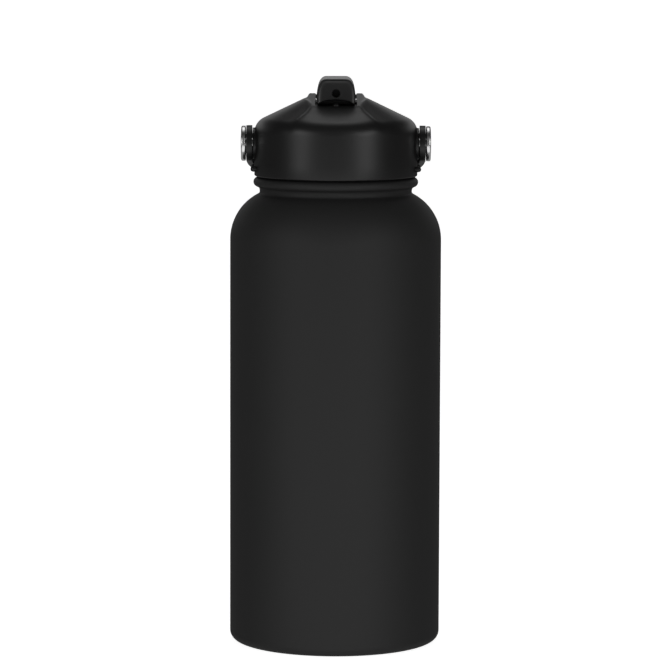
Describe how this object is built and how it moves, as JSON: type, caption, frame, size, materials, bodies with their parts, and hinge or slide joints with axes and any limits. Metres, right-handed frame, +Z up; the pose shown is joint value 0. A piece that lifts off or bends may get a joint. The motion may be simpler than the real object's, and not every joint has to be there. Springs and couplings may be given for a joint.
{
  "type": "growler",
  "caption": "Vacuum-insulated wide-mouth growler with a screw-in lid, a flip-up straw spout and a bail handle that swings over the lid.",
  "frame": {"origin": "centre of the base, on the plane that the bottle stands on", "axes": "+Z up along the bottle's axis; the spout's tip faces -Y when closed; the handle's pivots lie along X"},
  "size_m": [0.091, 0.091, 0.245],
  "materials": {
    "powder_coat": "matte black powder coat with a fine grain",
    "bare_steel": "bare stainless steel, electro-polished inside and brushed at the base",
    "seal_metal": "dull metal",
    "lid_plastic": "satin black polypropylene",
    "spout_plastic": "semi-gloss black polypropylene",
    "handle_plastic": "satin black nylon",
    "bush_plastic": "dark acetal",
    "silicone": "matte dark silicone",
    "straw_plastic": "translucent white polypropylene",
    "foam": "off-white insulating foam",
    "polished_steel": "mirror-polished stainless steel"
  },
  "bodies": {
    "bottle": {"outer_shell": "powder_coat", "inner_liner": "bare_steel", "base_plate": "bare_steel", "vacuum_seal": "seal_metal", "getter": "seal_metal"},
    "lift_ring": {"mouth_gasket": "silicone"},
    "screw_ring": {"plug_seal": "silicone"},
    "lid": {"lid_shell": "lid_plastic", "lid_plug": "lid_plastic", "lid_foam": "foam", "spout_seal": "silicone", "straw_stem": "lid_plastic", "straw": "straw_plastic", "vent_valve": "silicone", "handle_rivet_left": "polished_steel", "handle_rivet_right": "polished_steel", "handle_bush_left": "bush_plastic", "handle_bush_right": "bush_plastic", "spout_stub_left": "polished_steel", "spout_stub_right": "polished_steel"},
    "spout": {"spout": "spout_plastic"},
    "handle": {"handle": "handle_plastic"}
  },
  "joints": [
    {"name": "lid_lift", "type": "slide", "parent": "bottle", "child": "lift_ring", "axis": [0, 0, 1], "range_m": [0, 0.225]},
    {"name": "lid_rise", "type": "slide", "parent": "lift_ring", "child": "screw_ring", "axis": [0, 0, 1], "range_m": [0, 0.00801]},
    {"name": "lid_turn", "type": "hinge", "parent": "screw_ring", "child": "lid", "pos_m": [0, 0, 0.2], "axis": [0, 0, 1], "range_deg": [0, 720]},
    {"name": "spout_flip", "type": "hinge", "parent": "lid", "child": "spout", "pos_m": [0, 0.009, 0.2334], "axis": [-1, 0, 0], "range_deg": [0, 90]},
    {"name": "handle_swing", "type": "hinge", "parent": "lid", "child": "handle", "pos_m": [0, 0, 0.216], "axis": [1, 0, 0], "range_deg": [0, 216]}
  ],
  "couplings": [
    {"joint": "lid_rise", "follows": "lid_turn", "m_per_rad": 0.00063662}
  ]
}
